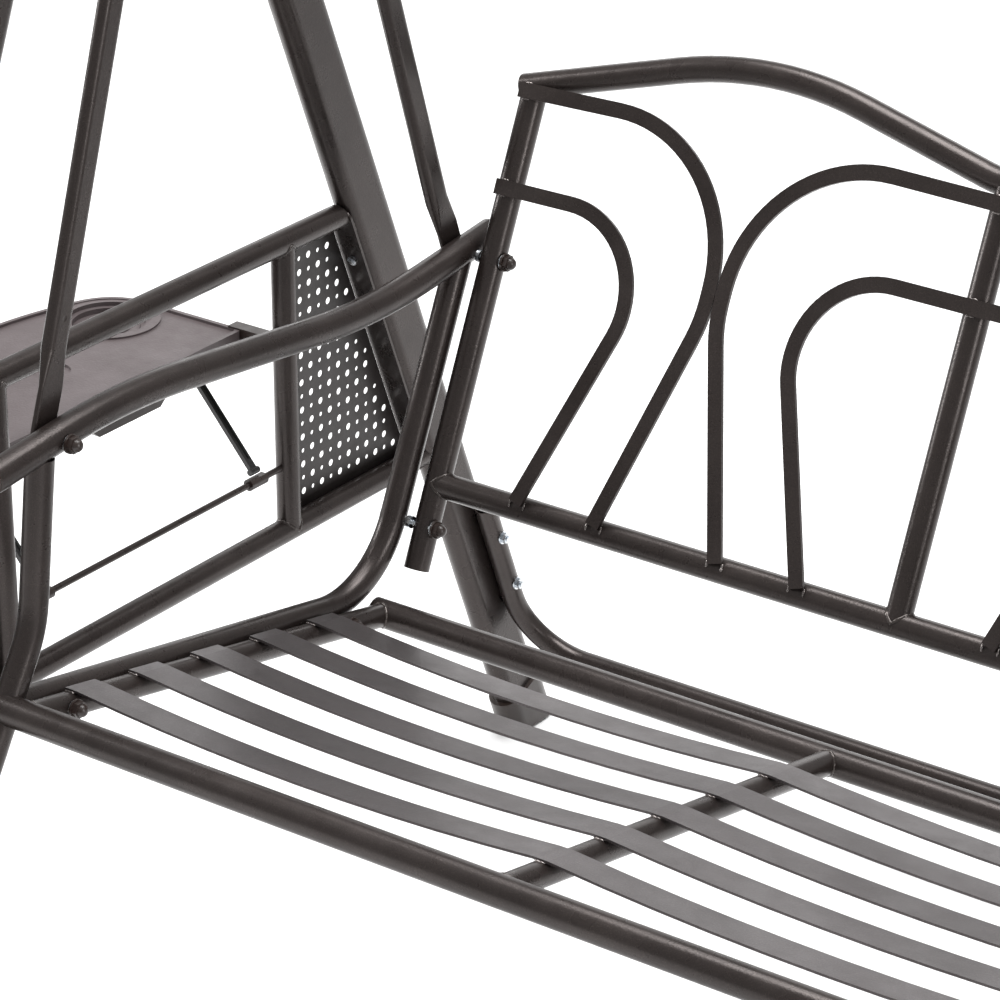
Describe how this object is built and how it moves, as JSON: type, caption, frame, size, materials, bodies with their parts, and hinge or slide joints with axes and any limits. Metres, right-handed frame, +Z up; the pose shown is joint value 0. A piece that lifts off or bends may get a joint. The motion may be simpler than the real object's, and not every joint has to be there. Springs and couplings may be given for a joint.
{
  "type": "glider swing",
  "caption": "Garden swing: slatted steel seat with a scrollwork backrest hung on oval bars from an A-frame stand, with perforated side panels and folding side trays with cup recesses",
  "frame": {"origin": "centre of the stand's footprint on the floor", "axes": "+X along the width, to the sitter's left; -Y is the front of the seat; +Z is up"},
  "size_m": [2.012, 1.3848, 1.67],
  "materials": {
    "frame_paint": "bronze-brown satin powder coat on steel tube",
    "slat_paint": "bronze-brown satin powder coat on flat steel strip",
    "panel_paint": "bronze-brown satin powder coat on perforated sheet",
    "zinc": "bright zinc-plated steel",
    "brown_plastic": "dark brown moulded plastic",
    "tray_plastic": "fine-textured taupe moulded plastic",
    "black_wire": "black coated steel strut",
    "nylon": "natural nylon bush"
  },
  "bodies": {
    "stand": {"leg_front_left": "frame_paint", "leg_rear_left": "frame_paint", "leg_front_right": "frame_paint", "leg_rear_right": "frame_paint", "foot_caps": "brown_plastic", "side_upper_bars": "frame_paint", "side_lower_bars": "frame_paint", "side_uprights": "frame_paint", "panel_edge_plates": "frame_paint", "perforated_panels": "panel_paint", "tray_rods": "frame_paint", "strut_clips": "brown_plastic", "rear_crossbar": "frame_paint", "top_beam": "frame_paint", "beam_end_caps": "brown_plastic", "leg_top_plates": "frame_paint", "hanger_brackets": "frame_paint", "pivot_bolts": "zinc", "stand_bolts": "zinc", "stand_nuts": "zinc", "stand_washers": "zinc", "tray_hinge_pins": "zinc"},
    "seat": {"front_rail": "frame_paint", "back_rail": "frame_paint", "seat_side_tubes": "frame_paint", "seat_mid_bar": "frame_paint", "seat_slats": "slat_paint", "arm_posts": "frame_paint", "arm_loop_left": "frame_paint", "arm_loop_right": "frame_paint", "armrest_left": "frame_paint", "armrest_right": "frame_paint", "armrest_end_caps": "brown_plastic", "back_posts": "frame_paint", "back_mid_post": "frame_paint", "back_bottom_rail": "frame_paint", "back_top_rail": "frame_paint", "back_scrolls_tall": "frame_paint", "back_scrolls_short": "frame_paint", "back_spacers": "zinc", "hangers_front": "frame_paint", "hangers_rear": "frame_paint", "hanger_yokes": "frame_paint", "yoke_bolts": "zinc", "yoke_nuts": "zinc", "pivot_bushes": "nylon", "seat_bolts": "zinc", "seat_cap_nuts": "brown_plastic", "seat_washers": "zinc"},
    "tray_left": {"tray_left": "tray_plastic", "tray_bracket_left": "brown_plastic", "tray_ears_left": "brown_plastic", "strut_lugs_left": "brown_plastic"},
    "struts_left": {"tray_struts_left": "black_wire"},
    "tray_right": {"tray_right": "tray_plastic", "tray_bracket_right": "brown_plastic", "tray_ears_right": "brown_plastic", "strut_lugs_right": "brown_plastic"},
    "struts_right": {"tray_struts_right": "black_wire"}
  },
  "joints": [
    {"name": "seat_swing", "type": "hinge", "parent": "stand", "child": "seat", "pos_m": [0, 0, 1.59], "axis": [1, 0, 0], "range_deg": [-20, 20]},
    {"name": "tray_left_fold", "type": "hinge", "parent": "stand", "child": "tray_left", "pos_m": [-0.76, 0, 0.638], "axis": [0, 1, 0], "range_deg": [-84, 0]},
    {"name": "strut_left_fold", "type": "hinge", "parent": "tray_left", "child": "struts_left", "pos_m": [-0.86, 0, 0.624], "axis": [0, 1, 0], "range_deg": [-52, 0]},
    {"name": "tray_right_fold", "type": "hinge", "parent": "stand", "child": "tray_right", "pos_m": [0.76, 0, 0.638], "axis": [0, 1, 0], "range_deg": [0, 84]},
    {"name": "strut_right_fold", "type": "hinge", "parent": "tray_right", "child": "struts_right", "pos_m": [0.86, 0, 0.624], "axis": [0, 1, 0], "range_deg": [0, 52]}
  ],
  "couplings": [
    {"joint": "strut_left_fold", "follows": "tray_left_fold", "ratio": 0.59},
    {"joint": "strut_right_fold", "follows": "tray_right_fold", "ratio": 0.59}
  ]
}
